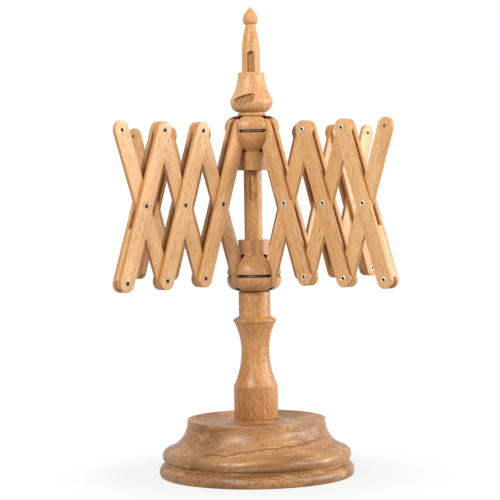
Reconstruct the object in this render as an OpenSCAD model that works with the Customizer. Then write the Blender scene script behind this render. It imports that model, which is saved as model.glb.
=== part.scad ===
/* [Base] */
// Diameter of the base across its foot bead
base_d = 215; // [190:1:240]
// Height of the base, from the floor to its rim
base_h = 62; // [60:1:76]
// Radius of the half-round foot bead
foot_bead_r = 9; // [7:0.5:10]
// Height of the fattest part of the foot bead above the floor
foot_bead_z = 5; // [3:0.5:6]
// How far the second bead lies in from the edge of the foot bead
upper_bead_inset = 3.5; // [2:0.5:10]
// Radius of the second bead
upper_bead_r = 8; // [6:0.5:9]
// Height of the fattest part of the second bead above the floor
upper_bead_z = 22.2; // [20:0.2:26]
// Depth of the groove between the two beads
bead_groove = 3; // [2:0.5:8]
// Diameter of the rim round the top of the base
rim_d = 152; // [130:1:160]
// Radius of the hollow cove between the second bead and the rim
cove_r = 32; // [22:1:40]
// How deep the cove bites into the second bead
cove_bite = 0.1; // [0.05:0.05:0.5]
// Width of the flat edge of the rim
rim_w = 3; // [1:0.5:8]
// Depth of the shallow dish turned into the top
dish_depth = 6; // [1:0.5:8]
// Diameter of the flat pad that the column stands on
pad_d = 56; // [52:1:70]

/* [Column] */
// Height of the column above the base
column_h = 140; // [120:1:160]
// Diameter of the column at its foot
column_d = 48.4; // [40:0.2:50]
// Height of the straight foot of the column
column_foot_h = 36; // [20:1:45]
// Diameter of the column at its waist
waist_d = 30.6; // [28:0.2:34]
// Height of the waist above the base
waist_z = 75; // [65:1:85]
// Diameter of the shoulder lip
shoulder_d = 47.6; // [40:0.2:50]
// Height of the shoulder lip above the base
shoulder_z = 107; // [98:1:112]
// Height of the lip's straight edge
lip_h = 2; // [1:0.5:4]
// How far the lip stands out over the waist's curve
lip_step = 0.6; // [0.3:0.1:2]
// Rise of the slope above the lip
slope_h = 4; // [2:0.5:6]
// Diameter of the collar at the top of the column
collar_d = 34.8; // [32:0.2:38]
// Diameter of the tenon that holds the column in the base
tenon_d = 32; // [20:1:36]
// Length of the tenon
tenon_l = 32; // [20:1:40]

/* [Spindle] */
// Diameter of the spindle
spindle_d = 19.6; // [18:0.1:20]
// Length of the spindle, from its foot in the column to the tip of its finial
spindle_l = 362.7; // [355:0.1:400]
// Depth of the bearing bore in the column
bearing_depth = 51; // [40:1:60]
// Length of the tapered neck below the finial
taper_l = 33; // [25:1:40]
// Diameter of the neck under the finial
finial_neck_d = 10.4; // [8:0.2:12]
// Diameter of the finial
finial_d = 16.4; // [14:0.2:17.6]
// Height of the finial above its fattest part
finial_h = 14.9; // [12:0.1:18]
// Radius of the round underside of the finial
finial_round = 4.6; // [3:0.1:5]
// Radius of the finial's bulging sides
finial_bow_r = 18.2; // [16:0.2:22]
// Half angle of the finial's point, in degrees
finial_point = 38.5; // [34:0.5:44]
// Diameter of the blunt tip of the finial
finial_tip_d = 0.8; // [0.6:0.2:3]
// Width of the keyway down the front of the spindle
keyway_w = 8; // [6:0.2:9]
// Depth of the keyway
keyway_depth = 3.8; // [2.5:0.1:4.5]
// Length of the keyway
keyway_l = 164.4; // [158:0.1:180]
// Distance from the top of the keyway up to the tip of the finial
keyway_drop = 48.4; // [44:0.1:54]

/* [Hubs] */
// Diameter of the hubs across their wire grooves
hub_d = 59.5; // [56:0.5:64]
// Distance from the wire groove to the flat end of a hub
hub_end = 16.8; // [16:0.1:22]
// Radius of the round between the side of a hub and its flat end
hub_round = 11.5; // [6:0.5:14]
// Radius of the bulge between the wire groove and the neck
hub_bulge_r = 25; // [23:0.5:28]
// Distance from the wire groove of the lower hub to the end of its neck
lower_neck_l = 39; // [36:0.2:40]
// Distance from the wire groove of the upper hub to the end of its neck
upper_neck_l = 42.4; // [36:0.2:43]
// Diameter of the neck
hub_neck_d = 34; // [30:0.5:36]
// Distance from the spindle's axis to the hinge wires
pivot_r = 24.5; // [24:0.1:26]
// Diameter of the hinge wires
wire_d = 2.2; // [1.6:0.1:2.6]
// Width of the groove that holds a wire
groove_w = 3.2; // [2.8:0.1:4]
// How far the arm slots reach towards the neck from the wire groove
slot_reach = 23; // [20:0.5:26]
// Gap between the lower hub and the top of the column
hub_gap = 1.1; // [0.5:0.1:3]
// Height of the keys inside the upper hub and the cap
key_h = 12; // [8:0.5:14]

/* [Cap] */
// Height of the cap
cap_h = 47.6; // [44:0.1:52]
// Diameter of the bulb of the cap
cap_d = 46.5; // [44:0.5:50]
// Radius of the bulb's round
bulb_r = 11.2; // [9.5:0.1:11.6]
// Diameter of the cap at its top
cap_top_d = 28.8; // [24:0.2:32]
// Diameter of the foot bead of the cap
cap_foot_d = 31.6; // [28:0.2:34]
// Height of the foot bead of the cap
cap_foot_h = 3.4; // [2:0.2:4]
// Depth of the slanted notch in the bulb
notch_depth = 3.5; // [2:0.1:5]
// Height of the notch
notch_h = 10; // [6:0.5:12]
// Slope of the notch, in degrees
notch_slope = 16; // [0:1:25]
// Lean of the notch's floor, which lies deeper at its top, in degrees
notch_lean = 25; // [0:1:35]
// How far round to the left of the keyway the notch lies, in degrees
notch_turn = 18; // [0:1:40]

/* [Arms] */
// Distance between the end holes of a slat
slat_pitch = 167.3; // [160:0.1:176]
// Width of a slat
slat_w = 19; // [16:0.5:20]
// Thickness of a slat
slat_t = 4.2; // [3.8:0.1:5]
// Angle of the folded slats from upright, in degrees
fold_angle = 19.5; // [17:0.5:24]
// Angle by which the slats turn to open the arms fully, in degrees
open_angle = 41; // [30:1:41]
// How much further than elsewhere an inner slat reaches past its hinge wire
hub_tail = 4; // [0:0.5:4.5]
// Gap between slats that turn on each other
layer_gap = 0.2; // [0.1:0.05:0.4]
// Gap left between the spacer at the tip and the strut that stops on it
stop_gap = 0.8; // [0.6:0.1:2]
// Set-back of the spacer from the ends of its rails
spacer_set_back = 2; // [0.5:0.5:4]

/* [Rivets] */
// Diameter of the tubular rivets
rivet_d = 3.6; // [3:0.1:4.2]
// Bore of the rivets
rivet_bore = 2.6; // [1.6:0.1:2.8]
// Diameter of the rolled rivet heads
rivet_head_d = 5.4; // [4.6:0.1:6.4]
// Thickness of the rivet heads
rivet_head_t = 0.5; // [0.3:0.1:0.8]

/* [Fits] */
// Radial clearance of a slat on its rivet or wire
pin_fit = 0.05; // [0.03:0.01:0.1]
// Radial clearance of the spindle in its bearing
bearing_fit = 0.08; // [0.03:0.01:0.1]
// Radial clearance of the upper hub and the cap on the spindle
slide_fit = 0.1; // [0.05:0.01:0.1]
// Radial clearance of the glued joints
glue_fit = 0.03; // [0.02:0.01:0.06]
// Clearance of a slat in its hub slot
slot_fit = 0.7; // [0.3:0.1:0.9]
// Clearance of a key in the keyway
side_fit = 0.2; // [0.1:0.05:0.3]

/* [Hidden] */
$fn = 96;
BEECH = "burlywood";
STEEL = "silver";
SLICE = 0.01;
ARMS = ["front_left", "front_right", "back_right", "back_left"];
ARM_TURN = [225, 315, 45, 135];
NEAR_SIDE = [1, -1, -1, 1];
STAGES = ["inner", "middle", "outer"];

foot_z = base_h;
column_top_z = foot_z + column_h;
spindle_z = column_top_z - bearing_depth;
tip_z = spindle_z + spindle_l;
lower_pivot_z = column_top_z + hub_gap + hub_end;
stage_r = slat_pitch * sin(fold_angle);
upper_pivot_z = lower_pivot_z + slat_pitch * cos(fold_angle);
cap_z = upper_pivot_z + hub_end;
spindle_r = spindle_d / 2;
slide_r = spindle_r + slide_fit;
rail_offset = slat_t + layer_gap;
pair_half = rail_offset + slat_t / 2;
spacer_t = slat_t + 2 * layer_gap;
strut_slot_w = slat_t + 2 * slot_fit;
rail_slot_w = 2 * pair_half + 2 * slot_fit;
slot_r = pivot_r - hub_tail * sin(fold_angle + open_angle) - slat_w / 2 - slot_fit;
wire_straight = rail_slot_w / 2 + side_fit;
key_floor_r = spindle_r - keyway_depth;
cut = 200;

// Radius of an arc that moves sideways by rise over a length of run, starting straight
function arc_r(rise, run) = (run * run + rise * rise) / (2 * rise);

// Rectangle of a turned profile, from the axis out to r and from z0 up to z1
module band(r, z0, z1) {
    translate([0, z0]) square([r, z1 - z0]);
}

// Disc of a turned profile, kept on its own side of the axis
module bead(x, z, r) {
    intersection() {
        translate([x, z]) circle(r);
        translate([0, z - r]) square([x + r, 2 * r]);
    }
}

module base_profile() {
    rim_r = rim_d / 2;
    upper_r = base_d / 2 - upper_bead_inset;
    upper_x = upper_r - upper_bead_r;
    core_r = upper_r - bead_groove;
    cove_x = rim_r + cove_r;
    cove_reach = cove_r + upper_bead_r - cove_bite;
    cove_z = upper_bead_z + sqrt(pow(cove_reach, 2) - pow(cove_x - upper_x, 2));
    meet_x = upper_x + upper_bead_r * (cove_x - upper_x) / cove_reach;
    dish_in = pad_d / 2;
    dish_half = (rim_r - rim_w - dish_in) / 2;
    dish_r = arc_r(dish_depth, dish_half);
    difference() {
        union() {
            band(core_r, 0, upper_bead_z);
            bead(base_d / 2 - foot_bead_r, foot_bead_z, foot_bead_r);
            difference() {
                union() {
                    bead(upper_x, upper_bead_z, upper_bead_r);
                    band(meet_x, upper_bead_z, base_h);
                }
                translate([cove_x, cove_z]) circle(cove_r);
                translate([rim_r, cove_z]) square(cut);
            }
        }
        translate([dish_in + dish_half, base_h + dish_r - dish_depth]) circle(dish_r);
        translate([0, -cut]) square([cut, cut]);
    }
}

module base() {
    color(BEECH) difference() {
        rotate_extrude() base_profile();
        translate([0, 0, foot_z - tenon_l - hub_gap])
            cylinder(r = tenon_d / 2 + glue_fit, h = cut);
    }
}

module column_profile() {
    waist_r = waist_d / 2;
    collar_r = collar_d / 2;
    column_r = column_d / 2;
    shoulder_r = shoulder_d / 2;
    lower_arc = arc_r(column_r - waist_r, waist_z - column_foot_h);
    upper_arc = arc_r(shoulder_r - lip_step - waist_r, shoulder_z - waist_z);
    slope_z = shoulder_z + lip_h;
    difference() {
        band(column_r, 0, waist_z);
        translate([waist_r + lower_arc, waist_z]) circle(lower_arc);
    }
    difference() {
        band(shoulder_r - lip_step, waist_z - SLICE, shoulder_z + SLICE);
        translate([waist_r + upper_arc, waist_z]) circle(upper_arc);
    }
    polygon([
        [0, shoulder_z], [shoulder_r, shoulder_z], [shoulder_r, slope_z],
        [collar_r, slope_z + slope_h], [collar_r, column_h], [0, column_h]
    ]);
    band(tenon_d / 2, -tenon_l, waist_z / 2);
}

module column() {
    color(BEECH) difference() {
        translate([0, 0, foot_z]) rotate_extrude($fn = 160) column_profile();
        translate([0, 0, spindle_z]) cylinder(r = spindle_r + bearing_fit, h = cut);
    }
}

module spindle_profile() {
    finial_z = spindle_l - finial_h;
    neck_z = finial_z - finial_round;
    neck_r = finial_neck_d / 2;
    taper_z = neck_z - taper_l;
    taper_arc = arc_r(spindle_r - neck_r, taper_l);
    finial_r = finial_d / 2;
    tip_r = finial_tip_d / 2;
    band(spindle_r, 0, taper_z);
    intersection() {
        band(spindle_r, taper_z - SLICE, neck_z);
        translate([spindle_r - taper_arc, taper_z]) circle(taper_arc);
    }
    band(neck_r, neck_z - SLICE, finial_z);
    bead(finial_r - finial_round, finial_z, finial_round);
    intersection() {
        translate([finial_r - finial_bow_r, finial_z]) circle(finial_bow_r);
        polygon([
            [0, finial_z], [tip_r + finial_h * tan(finial_point), finial_z],
            [tip_r, spindle_l], [0, spindle_l]
        ]);
    }
}

module keyway() {
    top_z = tip_z - keyway_drop;
    half_w = keyway_w / 2;
    for (z = [top_z - half_w, top_z - keyway_l + half_w]) {
        translate([0, -key_floor_r, z]) rotate([90, 0, 0]) cylinder(r = half_w, h = spindle_d);
    }
    translate([-half_w, -key_floor_r - spindle_d, top_z - keyway_l + half_w])
        cube([keyway_w, spindle_d, keyway_l - keyway_w]);
}

module spindle() {
    color(BEECH) difference() {
        translate([0, 0, spindle_z]) rotate_extrude() spindle_profile();
        keyway();
    }
}

// Key on the front of a bore that runs in the keyway, starting at height z
module key(z) {
    key_w = keyway_w - 2 * side_fit;
    key_r = key_floor_r + 2 * side_fit;
    translate([-key_w / 2, -slide_r - 1, z]) cube([key_w, slide_r + 1 - key_r, key_h]);
}

// Turned hub blank with its wire groove at height 0, its flat end below and its neck above
module hub_profile(neck_l) {
    hub_r = hub_d / 2;
    round_x = hub_r - hub_round;
    round_z = hub_round - hub_end;
    intersection() {
        translate([hub_r - hub_bulge_r, 0]) circle(hub_bulge_r);
        band(hub_r, 0, hub_bulge_r);
    }
    band(hub_r, round_z, 0);
    bead(round_x, round_z, hub_round);
    band(round_x, -hub_end, 0);
    band(hub_neck_d / 2, 0, neck_l);
}

// Slots for the arms, sawn in from the flat end
module arm_slots(width) {
    for (turn = ARM_TURN) {
        rotate([0, 0, turn])
            translate([slot_r, -width / 2, -hub_d])
                cube([hub_d, width, hub_d + slot_reach]);
    }
}

module wire_groove() {
    difference() {
        translate([0, 0, -groove_w / 2]) cylinder(r = hub_d, h = groove_w);
        translate([0, 0, -groove_w]) cylinder(r = pivot_r - groove_w / 2, h = 2 * groove_w);
    }
}

module hub(slot_w, bore_r, neck_l) {
    difference() {
        rotate_extrude($fn = 160) hub_profile(neck_l);
        arm_slots(slot_w);
        wire_groove();
        translate([0, 0, -cut]) cylinder(r = bore_r, h = 2 * cut);
    }
}

module lower_hub() {
    color(BEECH) translate([0, 0, lower_pivot_z]) hub(strut_slot_w, spindle_r + glue_fit, lower_neck_l);
}

module upper_hub() {
    color(BEECH) union() {
        translate([0, 0, upper_pivot_z]) mirror([0, 0, 1]) hub(rail_slot_w, slide_r, upper_neck_l);
        key(cap_z - key_h - side_fit);
    }
}

// Closed square of wire with round corners and a straight hinge pin at each arm
module hinge_wire(z) {
    corner_r = pivot_r - wire_straight;
    color(STEEL) translate([0, 0, z]) for (turn = ARM_TURN) rotate([0, 0, turn]) {
        translate([pivot_r, wire_straight, 0]) rotate([90, 0, 0])
            cylinder(d = wire_d, h = 2 * wire_straight);
        translate([wire_straight, wire_straight, 0]) rotate_extrude(angle = 90)
            translate([corner_r, 0]) circle(d = wire_d);
    }
}

module lower_hub_wire() {
    hinge_wire(lower_pivot_z);
}

module upper_hub_wire() {
    hinge_wire(upper_pivot_z);
}

module cap_profile() {
    bulb_x = cap_d / 2 - bulb_r;
    bulb_z = cap_foot_h + bulb_r + 0.6;
    top_r = cap_top_d / 2;
    foot_round = cap_foot_h / 2;
    neck_x = top_r - bulb_x;
    neck_run = cap_h - bulb_z;
    neck_arc = (neck_x * neck_x + neck_run * neck_run - bulb_r * bulb_r) / (2 * (bulb_r - neck_x));
    share = bulb_r / (bulb_r + neck_arc);
    meet_x = bulb_x + (neck_x + neck_arc) * share;
    meet_z = bulb_z + neck_run * share;
    difference() {
        union() {
            bead(cap_foot_d / 2 - foot_round, foot_round, foot_round);
            band(cap_foot_d / 2 - foot_round, 0, bulb_z);
            bead(bulb_x, bulb_z, bulb_r);
            difference() {
                band(meet_x, meet_z, cap_h);
                translate([top_r + neck_arc, cap_h]) circle(neck_arc);
            }
            band(bulb_x, bulb_z, cap_h);
        }
        band(slide_r, -1, cap_h + 1);
    }
}

module cap_notch() {
    notch_z = cap_z + cap_foot_h + bulb_r + notch_h / 4;
    rotate([0, 0, -notch_turn])
        translate([0, notch_depth - cap_d / 2, notch_z])
            rotate([0, -notch_slope, 0]) rotate([-notch_lean, 0, 0])
                translate([0, -cap_d / 2, 0]) cube([2 * cap_d, cap_d, notch_h], center = true);
}

module lock_cap() {
    color(BEECH) union() {
        difference() {
            translate([0, 0, cap_z]) rotate_extrude($fn = 160) cap_profile();
            cap_notch();
        }
        key(cap_z + cap_foot_h);
    }
}

// Slat standing on its lowest hole, with round ends, three holes of the radii given and a longer lower end
module slat(hole_r, tail) {
    rotate([90, 0, 0]) linear_extrude(slat_t, center = true) difference() {
        union() {
            translate([-slat_w / 2, -tail]) square([slat_w, slat_pitch + tail]);
            translate([0, -tail]) circle(d = slat_w);
            translate([0, slat_pitch]) circle(d = slat_w);
        }
        for (i = [0:2]) translate([0, i * slat_pitch / 2]) circle(hole_r[i]);
    }
}

rivet_hole = rivet_d / 2 + pin_fit;
wire_hole = wire_d / 2 + pin_fit;

// Holes of a slat, where the slat of the inner stage turns on the hub's wire
function slat_holes(stage) = [stage == 0 ? wire_hole : rivet_hole, rivet_hole, rivet_hole];
function slat_tail(stage) = stage == 0 ? hub_tail : 0;

module on_arm(arm, stage, z) {
    rotate([0, 0, ARM_TURN[arm]]) translate([pivot_r + stage * stage_r, 0, z]) children();
}

module strut(arm, stage) {
    color(BEECH) on_arm(arm, stage, lower_pivot_z) rotate([0, fold_angle, 0])
        slat(slat_holes(stage), slat_tail(stage));
}

// Frame of a rail: its own length runs up from 0, out along the falling rail
module along_rail(arm, stage) {
    on_arm(arm, stage, upper_pivot_z) rotate([0, 180 - fold_angle, 0]) children();
}

module rail(arm, stage, side) {
    color(BEECH) along_rail(arm, stage) translate([0, side * rail_offset, 0])
        slat(slat_holes(stage), slat_tail(stage));
}

module rivet() {
    bore_r = rivet_bore / 2;
    head_r = rivet_head_d / 2;
    shank_r = rivet_d / 2;
    head_z = pair_half + rivet_head_t;
    roll = rivet_head_t / 2;
    rotate([90, 0, 0]) rotate_extrude($fn = 48) polygon([
        [bore_r, -head_z], [head_r - roll, -head_z], [head_r, -head_z + roll], [head_r, -pair_half],
        [shank_r, -pair_half], [shank_r, pair_half],
        [head_r, pair_half], [head_r, head_z - roll], [head_r - roll, head_z], [bore_r, head_z]
    ]);
}

module rivets(arm, stage) {
    first = stage == 0 ? 1 : 0;
    color(STEEL) along_rail(arm, stage)
        for (i = [first:2]) translate([0, 0, i * slat_pitch / 2]) rivet();
}

// Strip between the outer rails below their crossing, which the outer strut stops on
module tip_spacer(arm) {
    start = slat_pitch / 2 + slat_w / 2 / tan(fold_angle) + stop_gap;
    color(BEECH) along_rail(arm, 2) rotate([90, 0, 0]) linear_extrude(spacer_t, center = true) difference() {
        union() {
            translate([-slat_w / 2, start]) square([slat_w, slat_pitch - start]);
            translate([0, slat_pitch]) circle(d = slat_w - 2 * spacer_set_back);
        }
        translate([0, slat_pitch]) circle(rivet_hole);
    }
}

base();
column();
spindle();
lower_hub();
lower_hub_wire();
upper_hub();
upper_hub_wire();
lock_cap();
for (arm = [0:3]) {
    tip_spacer(arm);
    for (stage = [0:2]) {
        strut(arm, stage);
        rail(arm, stage, NEAR_SIDE[arm]);
        rail(arm, stage, -NEAR_SIDE[arm]);
        rivets(arm, stage);
    }
}
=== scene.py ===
import bpy
import math
import random
from mathutils import Matrix, Vector


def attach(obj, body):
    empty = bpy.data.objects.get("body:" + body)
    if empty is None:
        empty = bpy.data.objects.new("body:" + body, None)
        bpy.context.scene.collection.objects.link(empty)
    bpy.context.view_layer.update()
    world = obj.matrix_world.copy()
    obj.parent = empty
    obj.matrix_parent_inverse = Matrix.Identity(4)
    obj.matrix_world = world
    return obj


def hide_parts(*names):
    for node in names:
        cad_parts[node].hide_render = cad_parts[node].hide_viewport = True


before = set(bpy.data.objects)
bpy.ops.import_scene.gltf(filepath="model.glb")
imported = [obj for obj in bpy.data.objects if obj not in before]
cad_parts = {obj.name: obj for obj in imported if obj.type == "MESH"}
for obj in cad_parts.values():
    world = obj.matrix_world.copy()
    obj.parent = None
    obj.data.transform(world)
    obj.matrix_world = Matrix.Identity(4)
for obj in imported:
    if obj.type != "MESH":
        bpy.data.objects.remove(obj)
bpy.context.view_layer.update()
mm = 0.001


def clearSelection():
    bpy.ops.object.select_all(action="DESELECT")


def pick(piece):
    clearSelection()
    piece.select_set(True)
    bpy.context.view_layer.objects.active = piece


def nameIt(name):
    piece = bpy.context.object
    piece.name = name
    piece.data.name = name
    return piece


def applyAll(piece):
    for modifier in list(piece.modifiers):
        bpy.ops.object.modifier_apply(modifier=modifier.name)


def cutAway(piece, cutter, operation="DIFFERENCE"):
    # the cut faces take the cutter's material
    modifier = piece.modifiers.new("cut", "BOOLEAN")
    modifier.operation = operation
    modifier.solver = "EXACT"
    modifier.material_mode = "TRANSFER"
    modifier.object = cutter
    pick(piece)
    applyAll(piece)
    bpy.data.objects.remove(cutter)


def easeEdges(piece, width, segments=3, angle=40):
    modifier = piece.modifiers.new("ease", "BEVEL")
    modifier.width = width * mm
    modifier.segments = segments
    modifier.limit_method = "ANGLE"
    modifier.angle_limit = math.radians(angle)
    pick(piece)
    applyAll(piece)


def smoothIt(piece, angle=34):
    pick(piece)
    bpy.ops.object.shade_smooth_by_angle(angle=math.radians(angle))


def applyPlace(piece, place=None):
    if place is not None:
        piece.matrix_world = place
    pick(piece)
    bpy.ops.object.transform_apply(location=True, rotation=True, scale=True)


def faceOutward(piece):
    pick(piece)
    bpy.ops.object.mode_set(mode="EDIT")
    bpy.ops.mesh.select_all(action="SELECT")
    bpy.ops.mesh.normals_make_consistent(inside=False)
    bpy.ops.object.mode_set(mode="OBJECT")


def paintFaces(piece, material, test):
    # gives another material to the faces whose middle, in millimetres, passes the test
    piece.data.materials.append(material)
    for face in piece.data.polygons:
        if test(face.center / mm):
            face.material_index = len(piece.data.materials) - 1


def arc(x, z, radius, start, end, steps):
    # points of an arc in a turned profile, angles in degrees from straight out
    turns = [math.radians(start + (end - start) * i / steps) for i in range(steps + 1)]
    return [(x + radius * math.cos(t), z + radius * math.sin(t)) for t in turns]


def bowRadius(aside, run):
    # radius of an arc that starts straight and moves aside over a length of run
    return (run * run + aside * aside) / (2 * aside)


def eased(points, steps=4):
    # a point with a third number is a corner rounded to about that radius
    share = 0.45
    out = []
    for i, point in enumerate(points):
        if len(point) == 2:
            out.append(point)
            continue
        here = Vector(point[:2])
        back = Vector(points[i - 1][:2]) - here
        on = Vector(points[(i + 1) % len(points)][:2]) - here
        reach = min(point[2], share * back.length, share * on.length)
        a, b = here + back.normalized() * reach, here + on.normalized() * reach
        for k in range(steps + 1):
            t = k / steps
            p = a * (1 - t) ** 2 + here * 2 * t * (1 - t) + b * t ** 2
            out.append((p.x, p.y))
    return out


def turnOnLathe(name, profile, material, steps=128, closed=False):
    # the profile is drawn point by point in millimetres, then spun round the axis
    weld = 0.001 * mm
    clearSelection()
    bpy.ops.mesh.primitive_plane_add(size=mm)
    piece = nameIt(name)
    piece.data.materials.append(material)
    bpy.ops.object.mode_set(mode="EDIT")
    bpy.ops.mesh.select_mode(type="VERT")
    bpy.ops.mesh.select_all(action="SELECT")
    bpy.ops.mesh.merge(type="CENTER")
    x, z = profile[0]
    bpy.ops.transform.translate(value=(x * mm, 0, z * mm))
    for nextX, nextZ in list(profile[1:]) + ([profile[0]] if closed else []):
        move = ((nextX - x) * mm, 0, (nextZ - z) * mm)
        bpy.ops.mesh.extrude_vertices_move(TRANSFORM_OT_translate={"value": move})
        x, z = nextX, nextZ
    bpy.ops.mesh.select_all(action="SELECT")
    bpy.ops.mesh.remove_doubles(threshold=weld)
    bpy.ops.mesh.spin(steps=steps, angle=math.tau, center=(0, 0, 0), axis=(0, 0, 1))
    bpy.ops.mesh.select_all(action="SELECT")
    bpy.ops.mesh.remove_doubles(threshold=weld)
    bpy.ops.mesh.normals_make_consistent(inside=False)
    bpy.ops.object.mode_set(mode="OBJECT")
    return piece


def addBox(size, place, material):
    # a box of the size given in millimetres, for cutting or joining
    clearSelection()
    bpy.ops.mesh.primitive_cube_add(size=1)
    box = bpy.context.object
    box.data.materials.append(material)
    applyPlace(box, place @ Matrix.Diagonal([s * mm for s in size] + [1]))
    return box


def addStadium(name, width, length, depth, material):
    # an upright strip with round ends, its first round's centre at 0 and its front at y 0
    sides = 48
    clearSelection()
    bpy.ops.mesh.primitive_circle_add(vertices=sides, radius=width / 2 * mm, fill_type="NGON",
                                      rotation=(math.pi / 2, math.pi / sides, 0))
    piece = nameIt(name)
    piece.data.materials.append(material)
    applyPlace(piece)
    bpy.ops.object.mode_set(mode="EDIT")
    bpy.ops.mesh.select_mode(type="VERT")
    bpy.ops.mesh.select_all(action="DESELECT")
    bpy.ops.object.mode_set(mode="OBJECT")
    for vertex in piece.data.vertices:
        vertex.select = vertex.co.z > 0
    bpy.ops.object.mode_set(mode="EDIT")
    bpy.ops.transform.translate(value=(0, 0, length * mm))
    bpy.ops.mesh.select_all(action="SELECT")
    bpy.ops.mesh.extrude_region_move(TRANSFORM_OT_translate={"value": (0, depth * mm, 0)})
    bpy.ops.mesh.select_all(action="SELECT")
    bpy.ops.mesh.normals_make_consistent(inside=False)
    bpy.ops.object.mode_set(mode="OBJECT")
    return piece


def shift(x, y, z):
    return Matrix.Translation((x * mm, y * mm, z * mm))


def spinZ(degrees):
    return Matrix.Rotation(math.radians(degrees), 4, "Z")


def tiltY(degrees):
    return Matrix.Rotation(math.radians(degrees), 4, "Y")


def addNode(tree, kind, **values):
    node = tree.nodes.new(kind)
    for key, value in values.items():
        setattr(node, key, value)
    return node


def feed(tree, source, target):
    if isinstance(source, (int, float, tuple)):
        target.default_value = source
    else:
        tree.links.new(source, target)


def sums(tree, operation, a, b, c=0.0):
    node = addNode(tree, "ShaderNodeMath", operation=operation)
    for value, target in zip((a, b, c), node.inputs):
        feed(tree, value, target)
    return node.outputs[0]


def vectorSums(tree, operation, a, b, c=(0.0, 0.0, 0.0)):
    node = addNode(tree, "ShaderNodeVectorMath", operation=operation)
    for value, target in zip((a, b, c), node.inputs):
        feed(tree, value, target)
    return node.outputs["Value"] if operation == "LENGTH" else node.outputs["Vector"]


def noise(tree, vector, scale, detail=2.0, roughness=0.5):
    node = addNode(tree, "ShaderNodeTexNoise")
    tree.links.new(vectorSums(tree, "MULTIPLY", vector, scale), node.inputs["Vector"])
    node.inputs["Scale"].default_value = 1.0
    node.inputs["Detail"].default_value = detail
    node.inputs["Roughness"].default_value = roughness
    return node


def rise(tree, value, low, high):
    # 0 below low, 1 above high, smooth between
    node = addNode(tree, "ShaderNodeMapRange", interpolation_type="SMOOTHSTEP")
    feed(tree, value, node.inputs["Value"])
    node.inputs["From Min"].default_value = low
    node.inputs["From Max"].default_value = high
    return node.outputs["Result"]


def tint(tree, amount, first, second):
    node = addNode(tree, "ShaderNodeMix", data_type="RGBA")
    feed(tree, amount, node.inputs[0])
    for source, target in ((first, node.inputs[6]), (second, node.inputs[7])):
        feed(tree, (*source, 1.0) if isinstance(source, tuple) else source, target)
    return node.outputs[2]


def mixTwo(tree, amount, first, second, out):
    mixer = addNode(tree, "ShaderNodeMixShader")
    tree.links.new(amount, mixer.inputs[0])
    tree.links.new(first, mixer.inputs[1])
    tree.links.new(second, mixer.inputs[2])
    tree.links.new(mixer.outputs[0], out)


def newMaterial(name):
    material = bpy.data.materials.new(name)
    material.use_nodes = True
    return material, material.node_tree, material.node_tree.nodes["Principled BSDF"]


def growthScar(tree, source, place, colour, pale, scar):
    # one dark growth line that wriggles and breaks here and there, with a pale halo below it
    wriggle = noise(tree, source, scar["wriggleScale"], detail=3.0, roughness=0.6).outputs["Fac"]
    level = addNode(tree, "ShaderNodeSeparateXYZ")
    tree.links.new(source, level.inputs[0])
    x, y, z = level.outputs
    off = sums(tree, "MULTIPLY_ADD", sums(tree, "SUBTRACT", wriggle, 0.5), scar["wriggle"], y)
    off = sums(tree, "SUBTRACT", off, scar["level"])
    core = scar["width"] * scar["coreShare"]
    line = sums(tree, "SUBTRACT", 1.0, rise(tree, sums(tree, "ABSOLUTE", off, 0.0), core, scar["width"]))
    broken = noise(tree, place, scar["breakScale"]).outputs["Fac"]
    line = sums(tree, "MULTIPLY", line, rise(tree, broken, *scar["breakRange"]))
    # it runs across the front alone
    ends = sums(tree, "SUBTRACT", rise(tree, z, *scar["from"]), rise(tree, z, *scar["to"]))
    ends = sums(tree, "MULTIPLY", ends, sums(tree, "LESS_THAN", x, 0.0))
    line = sums(tree, "MULTIPLY", line, ends)
    below = sums(tree, "MULTIPLY", rise(tree, off, -scar["halo"], 0.0), sums(tree, "LESS_THAN", off, 0.0))
    below = sums(tree, "MULTIPLY", below, ends)
    colour = tint(tree, sums(tree, "MULTIPLY", below, scar["haloDepth"]), colour, pale)
    return tint(tree, sums(tree, "MULTIPLY", line, scar["depth"]), colour, scar["colour"])


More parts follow.
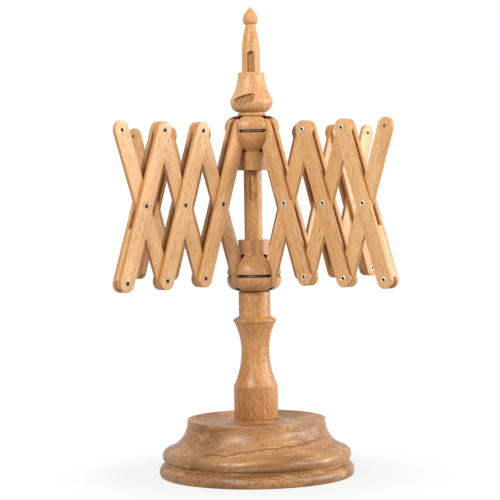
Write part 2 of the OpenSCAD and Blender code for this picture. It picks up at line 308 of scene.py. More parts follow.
def beech(name, look):
    # grain along the pattern's own Z, in millimetres
    material, tree, shader = newMaterial(name)
    if "attribute" in look:
        source = addNode(tree, "ShaderNodeAttribute", attribute_name=look["attribute"]).outputs["Vector"]
    else:
        source = addNode(tree, "ShaderNodeTexCoord").outputs["Object"]
    for turn, offset, scale in look["mapping"]:
        mapping = addNode(tree, "ShaderNodeMapping")
        mapping.inputs["Rotation"].default_value = [math.radians(a) for a in turn]
        mapping.inputs["Location"].default_value = offset
        mapping.inputs["Scale"].default_value = (scale, scale, scale)
        tree.links.new(source, mapping.inputs["Vector"])
        source = mapping.outputs["Vector"]
    # the grain wanders a little from straight
    wander = noise(tree, source, look["wanderScale"]).outputs["Color"]
    centred = vectorSums(tree, "SUBTRACT", wander, (0.5, 0.5, 0.5))
    place = vectorSums(tree, "MULTIPLY_ADD", centred, (look["wander"],) * 3, source)
    # growth rings round the pith
    across = vectorSums(tree, "MULTIPLY", place, (1.0, 1.0, look["taper"]))
    distance = vectorSums(tree, "LENGTH", across, (0.0, 0.0, 0.0))
    ringAt = sums(tree, "FRACT", sums(tree, "DIVIDE", distance, look["ring"]), 0.0)
    early = sums(tree, "SUBTRACT", 1.0, rise(tree, ringAt, *look["ringStop"]))
    late = sums(tree, "MULTIPLY", rise(tree, ringAt, *look["ringGrow"]), early)
    uneven = noise(tree, place, look["unevenScale"], detail=1.0).outputs["Fac"]
    late = sums(tree, "MULTIPLY", late, rise(tree, uneven, *look["ringSpread"]))
    # broad tone, pale streaks, fibres and the short brown rays of beech
    tone = rise(tree, noise(tree, place, look["toneScale"]).outputs["Fac"], *look["toneRange"])
    streaks = rise(tree, noise(tree, place, look["streakScale"]).outputs["Fac"], *look["streakRange"])
    fibre = noise(tree, place, look["fibreScale"], roughness=0.6).outputs["Fac"]
    flecks = noise(tree, place, look["rayScale"], detail=1.0).outputs["Fac"]
    rays = rise(tree, flecks, look["rayFrom"], look["rayFrom"] + look["rayEdge"])
    patches = noise(tree, place, look["patchScale"], detail=1.0).outputs["Fac"]
    patchy = rise(tree, patches, *look["patchRange"])
    patchy = sums(tree, "MULTIPLY_ADD", patchy, look["patchDepth"], 1.0 - look["patchDepth"])
    rays = sums(tree, "MULTIPLY", rays, patchy)
    colour = tint(tree, tone, look["pale"], look["honey"])
    # the slat's own tone, which also carries painted shade for its arm and for a rail's inward face
    if "toneAttribute" in look:
        own = addNode(tree, "ShaderNodeAttribute", attribute_name=look["toneAttribute"]).outputs["Fac"]
        colour = tint(tree, own, colour, look["deep"])
    colour = tint(tree, sums(tree, "MULTIPLY", streaks, look["streakDepth"]), colour, look["streakColour"])
    colour = tint(tree, sums(tree, "MULTIPLY", late, look["ringDepth"]), colour, look["ringColour"])
    fibreDark = sums(tree, "MULTIPLY", rise(tree, fibre, *look["fibreRange"]), look["fibreDepth"])
    colour = tint(tree, fibreDark, colour, look["ringColour"])
    colour = tint(tree, sums(tree, "MULTIPLY", rays, look["rayDepth"]), colour, look["rayColour"])
    if "scar" in look:
        colour = growthScar(tree, source, place, colour, look["pale"], look["scar"])
    tree.links.new(colour, shader.inputs["Base Color"])
    rough = sums(tree, "MULTIPLY_ADD", rays, look["rayRough"], look["roughness"])
    tree.links.new(rough, shader.inputs["Roughness"])
    bump = addNode(tree, "ShaderNodeBump")
    bump.inputs["Strength"].default_value = look["bump"]
    bump.inputs["Distance"].default_value = look["bumpHigh"] * mm
    relief = sums(tree, "SUBTRACT", sums(tree, "MULTIPLY", fibre, look["fibreHigh"]), rays)
    tree.links.new(relief, bump.inputs["Height"])
    tree.links.new(bump.outputs["Normal"], shader.inputs["Normal"])
    shader.inputs["Specular IOR Level"].default_value = look["shine"]
    shader.inputs["Coat Weight"].default_value = look["varnish"]
    shader.inputs["Coat Roughness"].default_value = look["varnishRough"]
    return material


# mapping: turn in degrees, offset and scale, from metres to the millimetres of the grain
turnedLook = {
    "mapping": [((0, 0, 12), (6, 74, 0), 1000)],
    "wanderScale": (0.025, 0.025, 0.012), "wander": 7.0,
    "taper": 0.05, "ring": 5.2, "ringDepth": 0.3, "ringGrow": (0.3, 0.92), "ringStop": (0.93, 1.0),
    "unevenScale": (0.03, 0.03, 0.006), "ringSpread": (0.3, 0.7),
    "toneScale": (0.03, 0.03, 0.012), "toneRange": (0.3, 0.7),
    "fibreScale": (1.5, 1.5, 0.11), "fibreRange": (0.45, 0.7), "fibreDepth": 0.38,
    "streakScale": (0.35, 0.35, 0.02), "streakRange": (0.48, 0.72), "streakDepth": 0.4,
    "rayScale": (0.95, 0.95, 0.22), "rayFrom": 0.53, "rayEdge": 0.11, "rayDepth": 0.8, "rayRough": 0.12,
    "patchScale": (0.05, 0.05, 0.02), "patchRange": (0.32, 0.62), "patchDepth": 0.75,
    "pale": (0.56, 0.275, 0.09), "honey": (0.44, 0.185, 0.05), "streakColour": (0.7, 0.4, 0.165),
    "ringColour": (0.26, 0.086, 0.019), "rayColour": (0.15, 0.046, 0.01),
    "bump": 0.3, "bumpHigh": 0.1, "fibreHigh": 0.6,
    "roughness": 0.42, "shine": 0.45, "varnish": 0.07, "varnishRough": 0.25,
}
columnLook = dict(
    turnedLook,
    rayFrom=0.5, rayScale=(1.05, 1.05, 0.24), rayDepth=0.62, patchScale=(0.03, 0.03, 0.015),
    pale=(0.6, 0.3, 0.1), honey=(0.47, 0.2, 0.055), rayColour=(0.19, 0.062, 0.013),
)
spindleLook = dict(
    turnedLook,
    mapping=[((0, 0, -25), (-8, 52, 40), 1000)],
    rayDepth=0.42, pale=(0.66, 0.345, 0.13), honey=(0.56, 0.26, 0.083), shine=0.3, varnish=0.03,
)
hubLook = dict(
    turnedLook,
    mapping=[((0, 0, 5), (-3, 66, 17), 1000)],
    ring=4.2, ringDepth=0.6, rayDepth=0.34, pale=(0.56, 0.285, 0.108), honey=(0.46, 0.21, 0.066),
)
capLook = dict(
    turnedLook,
    mapping=[((0, 0, 70), (11, 60, 90), 1000)],
    rayDepth=0.4, pale=(0.65, 0.36, 0.15), honey=(0.54, 0.262, 0.088),
)
# the base's grain lies flat and climbs a little to the right
baseLook = dict(
    turnedLook,
    mapping=[((0, 5.6, 0), (0, 0, 0), 1000), ((-90, -90, 0), (0, 1500, 0), 1)],
    wanderScale=(0.03, 0.03, 0.016), wander=8.0, ring=11.0, ringDepth=0.34, taper=0.03,
    rayScale=(0.75, 0.85, 0.17), rayDepth=0.75, fibreScale=(0.9, 1.4, 0.1),
    streakScale=(0.12, 0.2, 0.016), streakDepth=0.6,
    pale=(0.43, 0.21, 0.072), honey=(0.23, 0.097, 0.028), streakColour=(0.6, 0.355, 0.15),
    ringColour=(0.18, 0.064, 0.018), rayColour=(0.11, 0.036, 0.01), varnish=0.05,
    scar={
        "level": 1537.0, "width": 1.2, "coreShare": 0.3, "depth": 0.92, "halo": 8.0, "haloDepth": 0.2,
        "from": (-64, -50), "to": (68, 84), "wriggle": 9.0, "wriggleScale": (0.02, 0.02, 0.045),
        "breakScale": (0.06, 0.06, 0.06), "breakRange": (0.2, 0.42), "colour": (0.15, 0.055, 0.018),
    },
)
slatLook = dict(
    turnedLook,
    attribute="grainPlace", toneAttribute="slatTone",
    mapping=[((0, 0, 0), (0, 60, 0), 1000)],
    wanderScale=(0.02, 0.02, 0.01), wander=5.0, ring=6.0, ringDepth=0.22, taper=0.04,
    fibreScale=(1.6, 1.6, 0.09), fibreDepth=0.45, rayScale=(0.75, 0.75, 0.12), rayFrom=0.52, rayDepth=0.5,
    pale=(0.73, 0.44, 0.202), honey=(0.64, 0.352, 0.142), streakColour=(0.78, 0.53, 0.29),
    deep=(0.42, 0.18, 0.048), ringColour=(0.48, 0.205, 0.058), rayColour=(0.34, 0.13, 0.034), varnish=0.1,
)
# the slats' edge faces are darker: partly edge grain, partly painted shade
slatEdgeGrainShadeLook = dict(
    slatLook,
    pale=(0.56, 0.27, 0.08), honey=(0.47, 0.205, 0.053), streakColour=(0.64, 0.35, 0.125),
)
sawnLook = dict(
    turnedLook,
    mapping=[((0, 60, 20), (0, 30, 0), 1000)],
    pale=(0.22, 0.085, 0.024), honey=(0.15, 0.055, 0.014), streakColour=(0.28, 0.115, 0.035),
    ringColour=(0.1, 0.034, 0.008), rayColour=(0.08, 0.026, 0.006), roughness=0.6, varnish=0.0,
)
keywayLook = dict(
    sawnLook,
    mapping=[((0, 0, 0), (0, 50, 0), 1000)], pale=(0.64, 0.33, 0.105), honey=(0.52, 0.24, 0.066),
)
# the notch cuts across the rings, which show as even stripes; its faces are darker than the cap, partly cut
# grain and partly painted shade of the recess
notchGrainShadeLook = dict(
    sawnLook,
    mapping=[((0, -30, 0), (300, 0, 0), 1000)],
    ring=4.4, ringDepth=0.85, taper=0.0, ringSpread=(-1.0, 0.0), wander=2.0,
    pale=(0.46, 0.225, 0.07), honey=(0.37, 0.165, 0.046), ringColour=(0.16, 0.058, 0.014),
)
columnBeech = beech("columnBeech", columnLook)
spindleBeech = beech("spindleBeech", spindleLook)
hubBeech = beech("hubBeech", hubLook)
capBeech = beech("capBeech", capLook)
baseBeech = beech("baseBeech", baseLook)
slatBeech = beech("slatBeech", slatLook)
edgeBeech = beech("edgeBeech", slatEdgeGrainShadeLook)
sawnBeech = beech("sawnBeech", sawnLook)
keywayBeech = beech("keywayBeech", keywayLook)
notchBeech = beech("notchBeech", notchGrainShadeLook)


def steel(name, look):
    # metal, dulled in spots; with metal at 0 it is near-black: painted shade with dirt in the rivet bores, a
    # burnt line with painted shade in the hub grooves
    material, tree, shader = newMaterial(name)
    shader.inputs["Metallic"].default_value = look["metal"]
    spot = addNode(tree, "ShaderNodeTexCoord").outputs["Object"]
    grime = noise(tree, spot, (look["scale"],) * 3, detail=3.0).outputs["Fac"]
    colour = tint(tree, rise(tree, grime, *look["grimeRange"]), look["bright"], look["dull"])
    tree.links.new(colour, shader.inputs["Base Color"])
    rough = sums(tree, "MULTIPLY_ADD", grime, look["grimeRough"], look["roughness"])
    tree.links.new(rough, shader.inputs["Roughness"])
    return material


rivetLook = {
    "bright": (0.72, 0.7, 0.66), "dull": (0.5, 0.47, 0.43), "metal": 1.0, "roughness": 0.34, "scale": 900.0,
    "grimeRange": (0.4, 0.7), "grimeRough": 0.2,
}
rolledLook = dict(rivetLook, bright=(0.26, 0.235, 0.2), dull=(0.12, 0.1, 0.08), roughness=0.42)
# near-black for the rivet bores: painted shade together with dirt
boreShadeDirtLook = dict(
    rivetLook,
    bright=(0.02, 0.016, 0.012), dull=(0.008, 0.006, 0.005), metal=0.0, roughness=0.6,
)
wireLook = dict(rivetLook, bright=(0.16, 0.16, 0.16), dull=(0.07, 0.07, 0.07), roughness=0.4, scale=700.0)
# near-black for the hub grooves: a wire-burnt line together with painted shade of the deep groove
burnShadeLook = dict(
    boreShadeDirtLook,
    bright=(0.03, 0.014, 0.007), dull=(0.012, 0.006, 0.003), roughness=0.7, scale=500.0,
)
rivetSteel = steel("rivetSteel", rivetLook)
rolledSteel = steel("rolledSteel", rolledLook)
boreDark = steel("boreDark", boreShadeDirtLook)
wireSteel = steel("wireSteel", wireLook)
grooveBurn = steel("grooveBurn", burnShadeLook)
print("materials ready:", len(bpy.data.materials))


def dress(piece, body, slotName, *nodes):
    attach(piece, body)
    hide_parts(*nodes)
    return piece


baseShape = {
    "d": 215, "height": 62, "underR": 60, "footBeadR": 9, "footBeadZ": 5,
    "upperInset": 3.5, "upperBeadR": 8, "upperBeadZ": 22.2, "groove": 3, "coveR": 32,
    "rimR": 76, "rimFlat": 3, "rimEase": 1.2, "dishDepth": 6, "padR": 28,
    "mortiseR": 16.03, "mortiseZ": 28.9,
}


def makeBase(shape):
    r, z = shape["footBeadR"], shape["footBeadZ"]
    x = shape["d"] / 2 - r
    upR, upZ = shape["upperBeadR"], shape["upperBeadZ"]
    upX = shape["d"] / 2 - shape["upperInset"] - upR
    grooveX = upX + upR - shape["groove"]
    coveR, coveX = shape["coveR"], shape["rimR"] + shape["coveR"]
    meet = math.degrees(math.acos((coveX - upX) / (coveR + upR)))
    coveZ = upZ + (coveR + upR) * math.sin(math.radians(meet))
    dishHalf = (shape["rimR"] - shape["rimFlat"] - shape["padR"]) / 2
    dishR = bowRadius(shape["dishDepth"], dishHalf)
    dishX, dishZ = shape["padR"] + dishHalf, shape["height"] + dishR - shape["dishDepth"]
    footLow = -math.degrees(math.asin(z / r))
    footTop = math.degrees(math.acos((grooveX - x) / r))
    upLow = -math.degrees(math.acos((grooveX - upX) / upR))
    half = math.degrees(math.asin(dishHalf / dishR))
    profile = [(0, 0), (shape["underR"], 0)]
    profile += arc(x, z, r, footLow, footTop, steps=18)
    profile += arc(upX, upZ, upR, upLow, meet, steps=22)
    profile += arc(coveX, coveZ, coveR, meet - 180, -180, steps=22)[1:]
    profile += eased([profile[-1], (shape["rimR"], shape["height"], shape["rimEase"]),
                      (shape["rimR"] - shape["rimFlat"], shape["height"])])[1:]
    profile += arc(dishX, dishZ, dishR, half - 90, -half - 90, steps=24)
    mortiseR, mortiseZ = shape["mortiseR"], shape["mortiseZ"]
    profile += [(mortiseR, shape["height"]), (mortiseR, mortiseZ), (0, mortiseZ)]
    piece = turnOnLathe("turnedBase", profile, baseBeech, steps=192)
    smoothIt(piece, angle=25)
    return dress(piece, "stand", "beech_turned", "base")


makeBase(baseShape)
print("base turned")

columnShape = {
    "footZ": baseShape["height"], "tenonR": 16, "tenonL": 32, "footR": 24.2, "footH": 36, "footEdge": 0.5,
    "waistR": 15.3, "waistZ": 75,
    "lipR": 23.8, "lipZ": 107, "lipStep": 0.6, "lipH": 2, "lipEase": (0.3, 0.8),
    "slopeH": 4, "collarR": 17.4, "collarEase": 1.0, "height": 140, "boreR": 9.88, "boreZ": 89, "ease": 0.6,
}


def makeColumn(shape):
    waistR, waistZ = shape["waistR"], shape["waistZ"]
    underLip = shape["lipR"] - shape["lipStep"]
    lowR = bowRadius(shape["footR"] - waistR, waistZ - shape["footH"])
    highR = bowRadius(underLip - waistR, shape["lipZ"] - waistZ)
    lowTurn = math.degrees(math.asin((waistZ - shape["footH"]) / lowR))
    highTurn = math.degrees(math.asin((shape["lipZ"] - waistZ) / highR))
    slopeZ = shape["lipZ"] + shape["lipH"]
    ease = shape["ease"]
    profile = eased([(0, -shape["tenonL"]), (shape["tenonR"], -shape["tenonL"], ease), (shape["tenonR"], 0),
                     (shape["footR"], 0, ease), (shape["footR"], shape["footH"] - shape["footEdge"])])
    profile += arc(waistR + lowR, waistZ, lowR, 180 + lowTurn, 180, steps=20)
    profile += arc(waistR + highR, waistZ, highR, 180, 180 - highTurn, steps=18)[1:]
    lipLow, lipHigh = shape["lipEase"]
    profile += eased([profile[-1], (shape["lipR"], shape["lipZ"], lipLow), (shape["lipR"], slopeZ, lipHigh),
                      (shape["collarR"], slopeZ + shape["slopeH"], shape["collarEase"]),
                      (shape["collarR"], shape["height"], ease),
                      (shape["boreR"], shape["height"]), (shape["boreR"], shape["boreZ"]),
                      (0, shape["boreZ"])])[1:]
    profile = [(x, z + shape["footZ"]) for x, z in profile]
    piece = turnOnLathe("turnedColumn", profile, columnBeech)
    smoothIt(piece, angle=24)
    return dress(piece, "stand", "beech_turned", "column")


makeColumn(columnShape)
print("column turned")

spindleShape = {
    "footZ": columnShape["footZ"] + columnShape["boreZ"], "length": 362.7, "r": 9.8, "footEase": 0.8,
    "shaftRings": (60, 140, 220), "taperL": 33, "neckR": 5.2, "underR": 4.6,
    "finialR": 8.2, "finialH": 14.9, "finialBow": 18.2, "pointH": 8.2, "tipR": 0.4,
    "keywayW": 8, "keywayDepth": 3.8, "keywayL": 164.4, "keywayDrop": 48.4,
}


def makeSpindle(shape):
    r, neckR, long = shape["r"], shape["neckR"], shape["length"]
    finialZ = long - shape["finialH"]
    neckZ = finialZ - shape["underR"]
    taper = bowRadius(r - neckR, shape["taperL"])
    taperTurn = math.degrees(math.asin(shape["taperL"] / taper))
    underX = shape["finialR"] - shape["underR"]
    underTurn = math.degrees(math.acos((neckR - underX) / shape["underR"]))
    bow = shape["finialBow"]
    bowTurn = math.degrees(math.asin((shape["finialH"] - shape["pointH"]) / bow))
    shaft = [(r, z) for z in shape["shaftRings"]]
    profile = eased([(0, 0), (r, 0, shape["footEase"])] + shaft)
    profile += arc(r - taper, neckZ - shape["taperL"], taper, 0, taperTurn, steps=16)
    profile += arc(underX, finialZ, shape["underR"], -underTurn, 0, steps=8)
    profile += arc(shape["finialR"] - bow, finialZ, bow, 0, bowTurn, steps=10)[1:]
    profile += eased([profile[-1], (shape["tipR"], long, shape["tipR"]), (0, long)])[1:]
    profile = [(x, z + shape["footZ"]) for x, z in profile]
    piece = turnOnLathe("turnedSpindle", profile, spindleBeech, steps=96)
    wide, keyL = shape["keywayW"], shape["keywayL"]
    lowZ = shape["footZ"] + long - shape["keywayDrop"] - keyL + wide / 2
    cutter = addStadium("keywayCut", wide, keyL - wide, -2 * r, keywayBeech)
    applyPlace(cutter, shift(0, shape["keywayDepth"] - r, lowZ))
    cutAway(piece, cutter)
    smoothIt(piece, angle=24)
    return dress(piece, "rotor", "beech_turned", "spindle")


makeSpindle(spindleShape)
print("spindle turned and slotted")

arms = {"front_left": 225, "front_right": 315, "back_right": 45, "back_left": 135}
hubShape = {
    "r": 29.75, "end": 16.8, "round": 11.5, "grooveW": 3.2, "grooveR": 22.9, "grooveEase": 0.4,
    "bulgeR": 25, "bulgeStop": 6, "neckR": 17, "neckRise": 1, "neckEase": 4.5, "ease": 0.5,
    "slotR": 10.82, "slotReach": 23, "keyW": 7.6, "keyR": 6.4, "keyH": 12, "keySink": 1, "keyGap": 0.2,
    "burnMargin": 0.01, "seatGap": 1.1,
}
columnTop = columnShape["footZ"] + columnShape["height"]
slatShape = {
    "pitch": 167.3, "w": 19, "t": 4.2, "rivetHole": 1.85, "wireHole": 1.15, "ease": 0.6, "foldAngle": 19.5,
    "pivotR": 24.5, "lowZ": columnTop + hubShape["seatGap"] + hubShape["end"], "hubTail": 4,
    "railOffset": 4.4, "edgeMargin": 0.05, "drillL": 20,
    "spacerT": 4.6, "spacerEndL": 10, "stopGap": 0.8, "setBack": 2,
}
stageR = slatShape["pitch"] * math.sin(math.radians(slatShape["foldAngle"]))
highZ = slatShape["lowZ"] + slatShape["pitch"] * math.cos(math.radians(slatShape["foldAngle"]))
lowerHub = {"z": slatShape["lowZ"], "neckL": 39, "slotW": 5.6, "boreR": 9.83, "up": 1}
upperHub = {"z": highZ, "neckL": 42.4, "slotW": 14.4, "boreR": 9.9, "up": -1}


def addKey(piece, shape, boreR, z, material):
    # the key that runs in the keyway
    rootR = boreR + shape["keySink"]
    deep = rootR - shape["keyR"]
    place = shift(0, deep / 2 - rootR, z + shape["keyH"] / 2)
    cutAway(piece, addBox((shape["keyW"], deep, shape["keyH"]), place, material), "UNION")


def makeHub(name, shape, hub, body, node):
    r, end, groove = shape["r"], shape["end"], shape["grooveW"] / 2
    bulge, bulgeX = shape["bulgeR"], r - shape["bulgeR"]
    neckTurn = math.degrees(math.acos((shape["neckR"] - bulgeX) / bulge))
    profile = [(hub["boreR"], -end)]
    profile += arc(r - shape["round"], shape["round"] - end, shape["round"], -90, 0, steps=16)
    profile += eased([profile[-1], (r, -groove, shape["grooveEase"]), (shape["grooveR"], -groove),
                      (shape["grooveR"], groove)], steps=2)[1:]
    bulgeStart = math.degrees(math.asin(groove / bulge))
    profile += arc(bulgeX, 0, bulge, bulgeStart, neckTurn - shape["bulgeStop"], steps=16)
    neckZ = bulge * math.sin(math.radians(neckTurn)) + shape["neckRise"]
    profile += eased([profile[-1], (shape["neckR"], neckZ, shape["neckEase"]),
                      (shape["neckR"], hub["neckL"], shape["ease"]),
                      (hub["boreR"], hub["neckL"])], steps=6)[1:]
    piece = turnOnLathe(name, profile, hubBeech, steps=160, closed=True)
    # the groove walls are painted near-black: a burnt line together with painted shade
    burntShaded = groove + shape["burnMargin"]
    paintFaces(piece, grooveBurn, lambda p: abs(p.z) < burntShaded and math.hypot(p.x, p.y) > shape["slotR"])
    for turn in arms.values():
        place = spinZ(turn) @ shift(shape["slotR"] + r, 0, shape["slotReach"] - r)
        cutAway(piece, addBox((2 * r, hub["slotW"], 2 * r), place, sawnBeech))
    applyPlace(piece, shift(0, 0, hub["z"]) @ Matrix.Diagonal((1, 1, hub["up"], 1)))
    if hub["up"] < 0:
        faceOutward(piece)
        addKey(piece, shape, hub["boreR"], hub["z"] + end - shape["keyH"] - shape["keyGap"], hubBeech)
    smoothIt(piece, angle=25)
    return dress(piece, body, "beech_turned", node)


makeHub("lowerHubTurned", hubShape, lowerHub, "rotor", "lower_hub")
makeHub("upperHubTurned", hubShape, upperHub, "upper_slide", "upper_hub")
for node in ("lower_hub_wire", "upper_hub_wire"):
    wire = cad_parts[node]
    wire.data.materials.clear()
    wire.data.materials.append(wireSteel)
print("hubs turned and slotted")

capShape = {
    "z": highZ + hubShape["end"], "height": 47.6, "d": 46.5, "bulbR": 11.2, "topR": 14.4, "footR": 15.8,
    "footH": 3.4, "bulbGap": 0.6, "topEase": 0.6, "boreR": 9.9,
    "notchDepth": 3.5, "notchH": 10, "notchSlope": 16, "notchLean": 25, "notchTurn": 18,
}


def makeCap(shape):
    bulbR, footH, high = shape["bulbR"], shape["footH"], shape["height"]
    bulbX, bulbZ = shape["d"] / 2 - bulbR, footH + bulbR + shape["bulbGap"]
    neckX, run = shape["topR"] - bulbX, high - bulbZ
    neckR = (neckX ** 2 + run ** 2 - bulbR ** 2) / (2 * (bulbR - neckX))
    meet = math.degrees(math.atan2(run, neckX + neckR))
    footX = shape["footR"] - footH / 2
    start = -math.degrees(math.acos((footX - bulbX) / bulbR))
    profile = [(shape["boreR"], 0)] + arc(footX, footH / 2, footH / 2, -90, 90, steps=10)
    profile += arc(bulbX, bulbZ, bulbR, start, meet, steps=20)
    profile += arc(shape["topR"] + neckR, high, neckR, 180 + meet, 180, steps=16)[1:-1]
    profile += eased([profile[-1], (shape["topR"], high, shape["topEase"]), (shape["boreR"], high)])[1:]
    piece = turnOnLathe("lockingCap", profile, capBeech, steps=128, closed=True)
    # the notch's floor slants and leans in at its top
    half = shape["d"] / 2
    notchZ = footH + bulbR + shape["notchH"] / 4
    place = spinZ(-shape["notchTurn"]) @ shift(0, shape["notchDepth"] - half, notchZ)
    lean = tiltY(-shape["notchSlope"]) @ Matrix.Rotation(math.radians(-shape["notchLean"]), 4, "X")
    size = (2 * shape["d"], shape["d"], shape["notchH"])
    # the notch's faces take the darker notch colour: cut grain with painted shade
    cutAway(piece, addBox(size, place @ lean @ shift(0, -half, 0), notchBeech))
    addKey(piece, hubShape, shape["boreR"], footH, capBeech)
    applyPlace(piece, shift(0, 0, shape["z"]))
    smoothIt(piece, angle=24)
    return dress(piece, "cap", "beech_turned", "lock_cap")


makeCap(capShape)
print("cap turned and notched")

stages = ["inner", "middle", "outer"]
nearSide = {"front_left": 1, "front_right": -1, "back_right": -1, "back_left": 1}
# the per-arm darkening is painted shade on the arm that the lamps light most, and the inward darkening is
# painted shade on a rail's face inside the gap between its rails; the inner slats are darker by stage
board = {
    "aside": 0.03, "along": 3, "lean": 0.5, "toneRange": (-0.12, 0.16), "inwardTone": 0.7, "inwardY": 1.9,
    "stageTone": {"inner": 0.2, "middle": 0.05, "outer": 0.07},
    "armTone": {"front_left": 0.04, "front_right": 0.0, "back_right": 0.25, "back_left": 0.0},
}
draw = random.Random(7)


def markGrain(piece):
    # remembers each point's place on the slat, so that the grain runs along it
    piece.data.attributes.new("grainPlace", "FLOAT_VECTOR", "POINT")
    piece.data.attributes.new("slatTone", "FLOAT", "POINT")
    for vertex, spot in zip(piece.data.vertices, piece.data.attributes["grainPlace"].data):
        spot.vector = vertex.co


def drill(piece, shape, radius, z):
    clearSelection()
    bpy.ops.mesh.primitive_cylinder_add(vertices=32, radius=radius * mm, depth=shape["drillL"] * mm,
                                        location=(0, 0, z * mm), rotation=(math.pi / 2, 0, 0))
    cutter = bpy.context.object
    cutter.data.materials.append(sawnBeech)
    cutAway(piece, cutter)


def makeSlat(name, shape, firstHole, tail):
    piece = addStadium(name, shape["w"], shape["pitch"] + tail, shape["t"], slatBeech)
    applyPlace(piece, shift(0, -shape["t"] / 2, -tail))
    easeEdges(piece, shape["ease"])
    # the edge faces take the darker edge colour, partly edge grain and partly painted shade
    faceY = shape["t"] / 2 - shape["edgeMargin"]
    paintFaces(piece, edgeBeech, lambda p: abs(p.y) < faceY)
    for i, hole in enumerate((firstHole, shape["rivetHole"], shape["rivetHole"])):
        drill(piece, shape, hole, i * shape["pitch"] / 2)
    smoothIt(piece, angle=30)
    markGrain(piece)
    return piece


def makeSpacer(name, shape):
    half = shape["w"] / 2
    start = shape["pitch"] / 2 + half / math.tan(math.radians(shape["foldAngle"])) + shape["stopGap"]
    long = shape["pitch"] - start
    piece = addBox((shape["w"], shape["spacerT"], long), shift(0, 0, start + long / 2), slatBeech)
    piece.name = name
    endL = shape["spacerEndL"]
    end = addStadium("spacerEnd", 2 * (half - shape["setBack"]), endL, shape["spacerT"], slatBeech)
    applyPlace(end, shift(0, -shape["spacerT"] / 2, shape["pitch"] - endL))
    cutAway(piece, end, "UNION")
    drill(piece, shape, shape["rivetHole"], shape["pitch"])
    smoothIt(piece, angle=30)
    markGrain(piece)
    return piece


rivetShape = {
    "boreR": 1.3, "darkR": 1.7, "shankR": 1.8, "headR": 3.0, "rollR": 2.5, "headT": 0.5, "half": 6.5,
    "flareL": 0.6, "flareZ": 0.25, "lipZ": 0.2, "lipSteps": 8, "darkMargin": 0.02,
}


def makeRivet(name, shape):
    # a tube with a head at one end, rolled over a little less far at the other
    ends = []
    half, lipZ, steps = shape["half"], shape["lipZ"], shape["lipSteps"]
    for outR in (shape["headR"], shape["rollR"]):
        end = [(shape["boreR"], half - shape["flareL"]), (shape["darkR"], half + shape["flareZ"])]
        middle, lip = (shape["darkR"] + outR) / 2, (outR - shape["darkR"]) / 2
        end += [(middle - lip * math.cos(t), half + lipZ + (shape["headT"] - lipZ) * math.sin(t))
                for t in (math.pi * i / steps for i in range(1, steps + 1))]
        ends.append(end + [(outR, half), (shape["shankR"], half)])
    profile = ends[0] + [(x, -z) for x, z in reversed(ends[1])]
    piece = turnOnLathe(name, profile, rivetSteel, steps=32, closed=True)
    paintFaces(piece, rolledSteel, lambda p: p.z < 0)
    # the bore is painted near-black: painted shade together with dirt
    darkR = shape["darkR"] - shape["darkMargin"]
    paintFaces(piece, boreDark, lambda p: math.hypot(p.x, p.y) < darkR)
    applyPlace(piece, Matrix.Rotation(math.pi / 2, 4, "X"))
    smoothIt(piece, angle=40)
    return piece


wireSlat = makeSlat("wireSlatPattern", slatShape, slatShape["wireHole"], slatShape["hubTail"])
rivetSlat = makeSlat("rivetSlatPattern", slatShape, slatShape["rivetHole"], 0)
spacerPattern = makeSpacer("spacerPattern", slatShape)
rivetPattern = makeRivet("rivetPattern", rivetShape)
print("slat, spacer and rivet patterns made:", len(rivetSlat.data.vertices), "points a slat")


def copyOf(pattern, name, place):
    piece = pattern.copy()
    piece.data = pattern.data.copy()
    piece.name = name
    piece.data.name = name
    bpy.context.scene.collection.objects.link(piece)
    applyPlace(piece, place)
    return piece


def ownGrainShade(piece, tone, inward):
    # every slat is cut from another part of the board, with its own grain and tone; the tone it is given
    # holds its arm's painted shade, and a rail's inward face, inside the gap between its rails, gets painted
    # shade
    aside, along, turn = board["aside"], board["along"], board["lean"]
    offset = Vector((draw.uniform(-aside, aside), draw.uniform(-aside, aside), draw.uniform(-along, along)))
    lean = Matrix.Rotation(draw.uniform(-turn, turn), 3, "Z")
    tone = max(0.0, tone + draw.uniform(*board["toneRange"]))
    for spot, own in zip(piece.data.attributes["grainPlace"].data, piece.data.attributes["slatTone"].data):
        own.value = tone + (board["inwardTone"] if inward * spot.vector.y > board["inwardY"] * mm else 0.0)
        spot.vector = lean @ Vector(spot.vector) + offset


def camel(node):
    first, *words = node.split("_")
    return first + "".join(word.capitalize() for word in words)


def armPlace(arm, stage, z, tilt):
    return spinZ(arms[arm]) @ shift(slatShape["pivotR"] + stage * stageR, 0, z) @ tiltY(tilt)


def placeSlat(pattern, node, body, place, tone, inward=0):
    piece = copyOf(pattern, camel(node), place)
    ownGrainShade(piece, tone, inward)
    return dress(piece, body, "beech_slat", node)


for arm in arms:
    for i, stage in enumerate(stages):
        pattern = rivetSlat if i else wireSlat
        # darker inner slats, plus painted shade for the arm that the lamps light most
        tone = board["stageTone"][stage] + board["armTone"][arm]
        node = f"{arm}_strut_{stage}"
        placeSlat(pattern, node, node, armPlace(arm, i, slatShape["lowZ"], slatShape["foldAngle"]), tone)
        railPlace = armPlace(arm, i, highZ, 180 - slatShape["foldAngle"])
        body = f"{arm}_rail_{stage}"
        for side, sign in (("near", nearSide[arm]), ("far", -nearSide[arm])):
            place = railPlace @ shift(0, sign * slatShape["railOffset"], 0)
            placeSlat(pattern, f"{body}_{side}", body, place, tone, -sign)
        # the rivets of one pair of rails are one piece
        spots = [k * slatShape["pitch"] / 2 for k in range(0 if i else 1, 3)]
        node = f"{arm}_rivets_{stage}"
        group = [copyOf(rivetPattern, camel(node) + str(k), railPlace @ shift(0, 0, z))
                 for k, z in enumerate(spots)]
        clearSelection()
        for rivet in group:
            rivet.select_set(True)
        bpy.context.view_layer.objects.active = group[0]
        bpy.ops.object.join()
        dress(nameIt(camel(node)), body, "rivet_steel", node)
        if stage == "outer":
            placeSlat(spacerPattern, f"{arm}_tip_spacer", body, railPlace, tone)
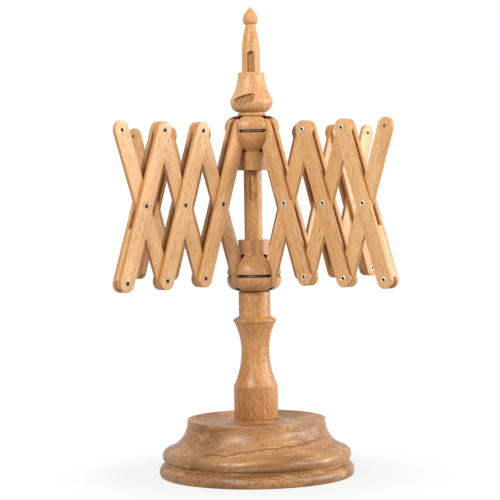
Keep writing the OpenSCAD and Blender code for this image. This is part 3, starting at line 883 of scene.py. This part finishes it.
for pattern in (wireSlat, rivetSlat, spacerPattern, rivetPattern):
    bpy.data.objects.remove(pattern)
print("arms built")

studio = {
    "floorR": 3.0, "floorColour": (0.42, 0.42, 0.42), "floorRough": 0.9,
    "shadowR": (0.11, 0.24), "shadow": 0.18, "world": 0.32, "aim": (0, 0, 0.26),
    "key": {"at": (1.8, -1.2, 1.0), "size": 0.5, "power": 25.5},
    "fill": {"at": (-0.85, -1.3, 1.2), "size": 0.45, "power": 25},
    "side": {"at": (2.1, 0.0, 0.6), "size": 1.1, "power": 33},
    "top": {"at": (0.0, 0.3, 2.2), "size": 1.2, "power": 14},
}


def seenWhite(tree):
    # the rays that see the background white: from the eye, through clear pieces and off shiny ones
    path = addNode(tree, "ShaderNodeLightPath")
    seen = sums(tree, "MAXIMUM", path.outputs["Is Camera Ray"], path.outputs["Is Transmission Ray"])
    return sums(tree, "MAXIMUM", seen, path.outputs["Is Glossy Ray"])


def makeFloor(plan):
    clearSelection()
    bpy.ops.mesh.primitive_circle_add(vertices=96, radius=plan["floorR"], fill_type="NGON")
    floor = nameIt("studioFloor")
    material, tree, shader = newMaterial("paleFloor")
    shader.inputs["Base Color"].default_value = (*plan["floorColour"], 1)
    shader.inputs["Roughness"].default_value = plan["floorRough"]
    shader.inputs["Specular IOR Level"].default_value = 0.0
    white = addNode(tree, "ShaderNodeEmission")
    away = vectorSums(tree, "LENGTH", addNode(tree, "ShaderNodeTexCoord").outputs["Object"], (0.0, 0.0, 0.0))
    # white to the eye, but with the shadow close to the base
    shadow = plan["shadow"]
    far = sums(tree, "MULTIPLY_ADD", rise(tree, away, *plan["shadowR"]), shadow, 1.0 - shadow)
    out = tree.nodes["Material Output"].inputs["Surface"]
    mixTwo(tree, sums(tree, "MULTIPLY", far, seenWhite(tree)), shader.outputs[0], white.outputs[0], out)
    floor.data.materials.append(material)


def makeWorld(plan):
    world = bpy.data.worlds.new("studioWorld")
    bpy.context.scene.world = world
    world.use_nodes = True
    tree = world.node_tree
    light = tree.nodes["Background"]
    light.inputs["Color"].default_value = (1, 1, 1, 1)
    light.inputs["Strength"].default_value = plan["world"]
    white = addNode(tree, "ShaderNodeBackground")
    white.inputs["Color"].default_value = (1, 1, 1, 1)
    out = tree.nodes["World Output"].inputs["Surface"]
    mixTwo(tree, seenWhite(tree), light.outputs[0], white.outputs[0], out)


def addLamp(name, plan, aim):
    clearSelection()
    bpy.ops.object.light_add(type="AREA", location=plan["at"])
    lamp = nameIt(name)
    lamp.data.shape = "DISK"
    lamp.data.size = plan["size"]
    lamp.data.energy = plan["power"]
    lamp.rotation_euler = (Vector(aim) - Vector(plan["at"])).to_track_quat("-Z", "Y").to_euler()


makeFloor(studio)
makeWorld(studio)
for lampName in ("key", "fill", "side", "top"):
    addLamp(lampName + "Lamp", studio[lampName], studio["aim"])

cameraPlan = {
    "at": (-0.0227, -2.0345, 0.3217), "down": 2.088, "aside": 0.523, "roll": -0.886,
    "lens": 133.2, "sensor": 36,
}
clearSelection()
bpy.ops.object.camera_add(location=cameraPlan["at"])
eye = nameIt("photoCamera")
aimTurn = spinZ(-cameraPlan["aside"]) @ Matrix.Rotation(math.radians(90 - cameraPlan["down"]), 4, "X")
eye.rotation_euler = (aimTurn @ spinZ(cameraPlan["roll"])).to_euler()
eye.data.lens = cameraPlan["lens"]
eye.data.sensor_width = cameraPlan["sensor"]
bpy.context.scene.camera = eye
bpy.context.scene.view_settings.view_transform = "Standard"
print("studio and camera set")
